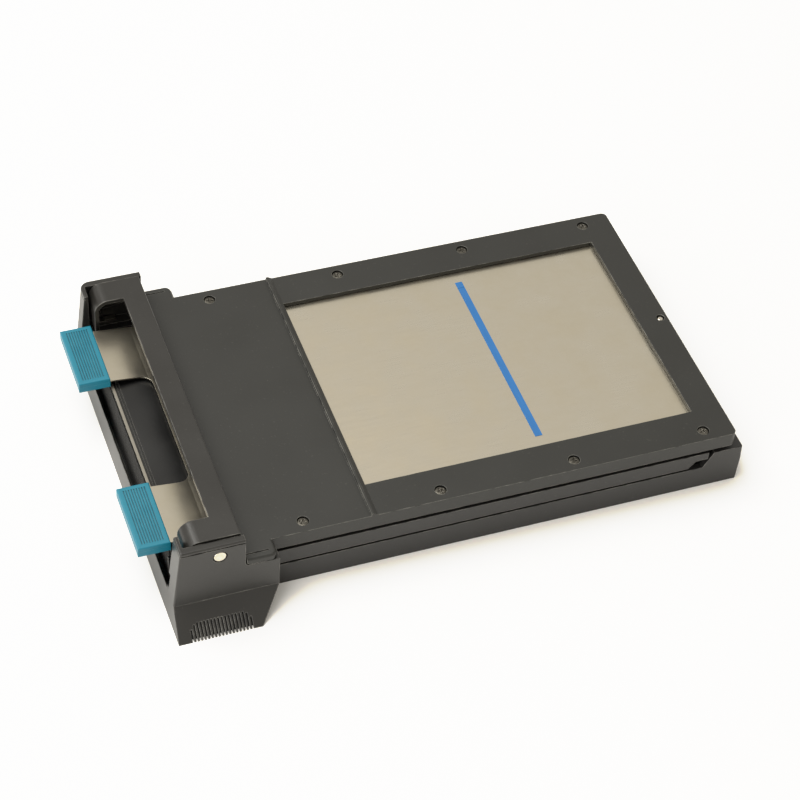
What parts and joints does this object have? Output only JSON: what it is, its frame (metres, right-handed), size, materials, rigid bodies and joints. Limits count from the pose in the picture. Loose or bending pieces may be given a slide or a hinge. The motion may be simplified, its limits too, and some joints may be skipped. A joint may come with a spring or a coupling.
{
  "type": "sheet film holder",
  "caption": "Flat sheet film magazine with a windowed front plate, a steel dark slide with finger grips, and a pull-out drawer locked by a rocking bail.",
  "frame": {"origin": "centre of the underside of the whole holder, as it lies on a table", "axes": "+X towards the end that goes into the camera, +Y across to the far long side, +Z out of the window side"},
  "size_m": [0.217, 0.152, 0.0347],
  "materials": {
    "plate_plastic": "moulded, fine grain",
    "housing_plastic": "moulded, satin",
    "body_plastic": "moulded, fine grain",
    "slide_steel": "rolled and brushed",
    "grip_plastic": "moulded, teal",
    "marker_tape": "blue tape",
    "black_screws": "blackened steel, worn recess",
    "plain_screws": "plated",
    "pin_steel": "turned",
    "velvet": "black pile",
    "black_sheet": "black enamel on sheet metal",
    "spring_steel": "bright strip",
    "tray_sheet": "black enamel on sheet metal"
  },
  "bodies": {
    "holder_body": {"front_plate": "plate_plastic", "chassis_frame": "body_plastic", "rear_shell": "body_plastic", "film_gate": "body_plastic", "cover_screws": "black_screws", "shell_screws": "plain_screws", "front_velvet": "velvet", "rear_velvet": "velvet", "locating_pin": "pin_steel", "drawer_stop_near": "pin_steel", "drawer_stop_far": "pin_steel", "sheath_catch_near": "spring_steel", "sheath_catch_far": "spring_steel", "film_sheath_1": "black_sheet"},
    "dark_slide": {"slide_blade": "slide_steel", "grip_top_near": "grip_plastic", "grip_top_far": "grip_plastic", "grip_bottom_near": "grip_plastic", "grip_bottom_far": "grip_plastic", "grip_rivets": "pin_steel", "marker_strip": "marker_tape", "marker_tip": "marker_tape"},
    "film_drawer": {"bail_pin_far": "pin_steel", "bail_pin_near": "pin_steel", "bail_spring_far": "spring_steel", "bail_spring_near": "spring_steel", "cover_hem": "spring_steel", "drawer_cover": "black_sheet", "drawer_tray": "tray_sheet", "end_felt": "velvet", "end_housing": "housing_plastic", "film_sheath_2": "black_sheet", "film_sheath_3": "black_sheet", "film_sheath_4": "black_sheet", "film_sheath_5": "black_sheet", "film_sheath_6": "black_sheet", "film_sheath_7": "black_sheet", "film_sheath_8": "black_sheet", "pressure_spring_far": "spring_steel", "pressure_spring_near": "spring_steel", "rail_screws": "plain_screws", "side_rail_far": "body_plastic", "side_rail_near": "body_plastic", "tray_screws": "plain_screws"},
    "pressure_plate": {"pressure_plate": "black_sheet"},
    "lock_bail": {"lock_bail": "housing_plastic"}
  },
  "joints": [
    {"name": "slide_pull", "type": "slide", "parent": "holder_body", "child": "dark_slide", "axis": [-1, 0, 0], "range_m": [0, 0.128]},
    {"name": "drawer_pull", "type": "slide", "parent": "holder_body", "child": "film_drawer", "axis": [-1, 0, 0], "range_m": [0, 0.128]},
    {"name": "plate_press", "type": "slide", "parent": "film_drawer", "child": "pressure_plate", "axis": [0, 0, -1], "range_m": [0, 0.0012], "stiffness_N_per_m": 2000, "springref_m": -0.001, "deforming": ["pressure_spring_near", "pressure_spring_far"]},
    {"name": "bail_rock", "type": "hinge", "parent": "film_drawer", "child": "lock_bail", "pos_m": [-0.08445, 0, 0.0287], "axis": [0, -1, 0], "range_deg": [0, 12], "stiffness_Nm_per_rad": 0.2, "springref_deg": -11.46, "deforming": ["bail_spring_near", "bail_spring_far"]}
  ]
}
